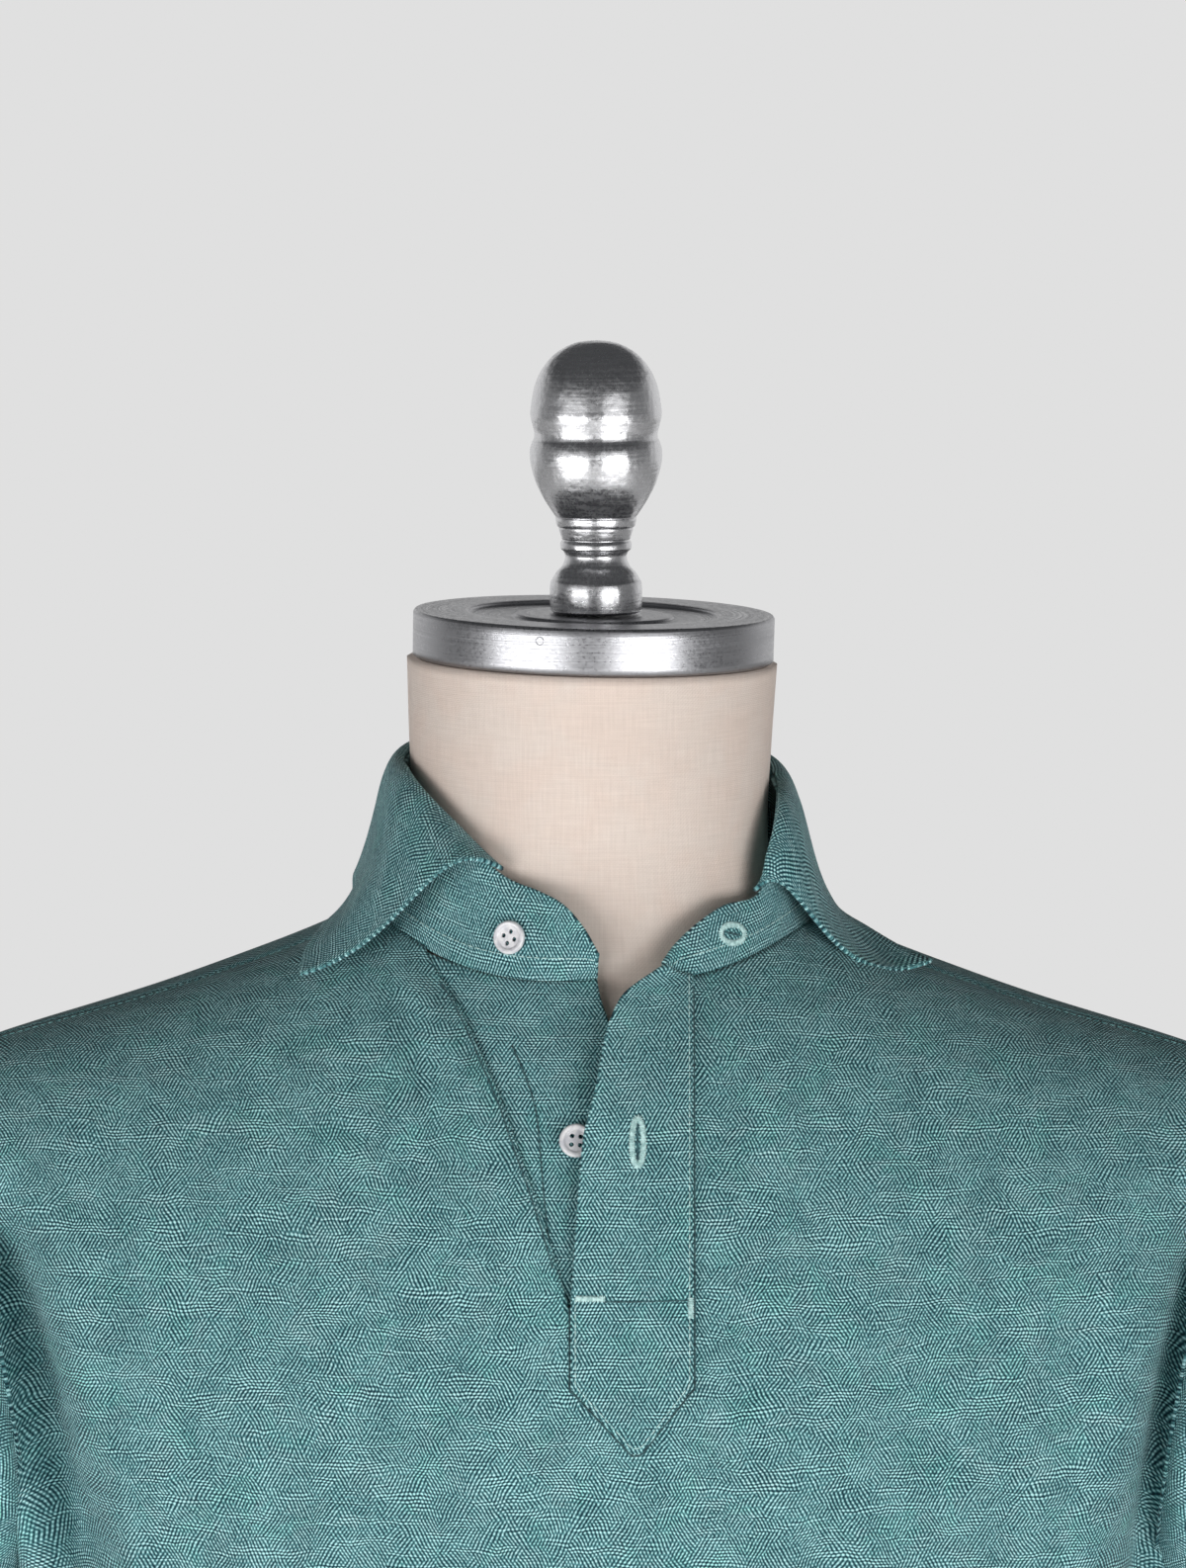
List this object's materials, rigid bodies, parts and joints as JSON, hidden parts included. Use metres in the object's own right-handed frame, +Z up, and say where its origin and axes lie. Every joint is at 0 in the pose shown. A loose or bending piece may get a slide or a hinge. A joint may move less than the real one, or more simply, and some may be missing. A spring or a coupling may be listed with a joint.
{
  "type": "polo shirt on limbless tailor's dress form",
  "caption": "Short-sleeved knitted polo shirt with open spread collar and pointed half placket, hanging on a limbless canvas dress form with metal neck cap and turned finial",
  "frame": {"origin": "middle of the dress form's flat foot, where it stands", "axes": "+Z up through the neck, the shirt's front faces -Y, +X is the wearer's left"},
  "size_m": [0.5818, 0.2515, 0.9787],
  "materials": {
    "knit": "matt honeycomb knit",
    "button": "satin white",
    "canvas": "fine matt canvas",
    "metal": "turned and brushed"
  },
  "bodies": {
    "root": {"front": "knit", "back": "knit", "sleeve_left": "knit", "sleeve_right": "knit", "collar_stand": "knit", "collar_leaf": "knit", "button_band": "knit", "buttonhole_band": "knit", "button_collar": "button", "button_front": "button", "form_body": "canvas", "neck_cap": "metal", "finial": "metal"}
  },
  "joints": []
}
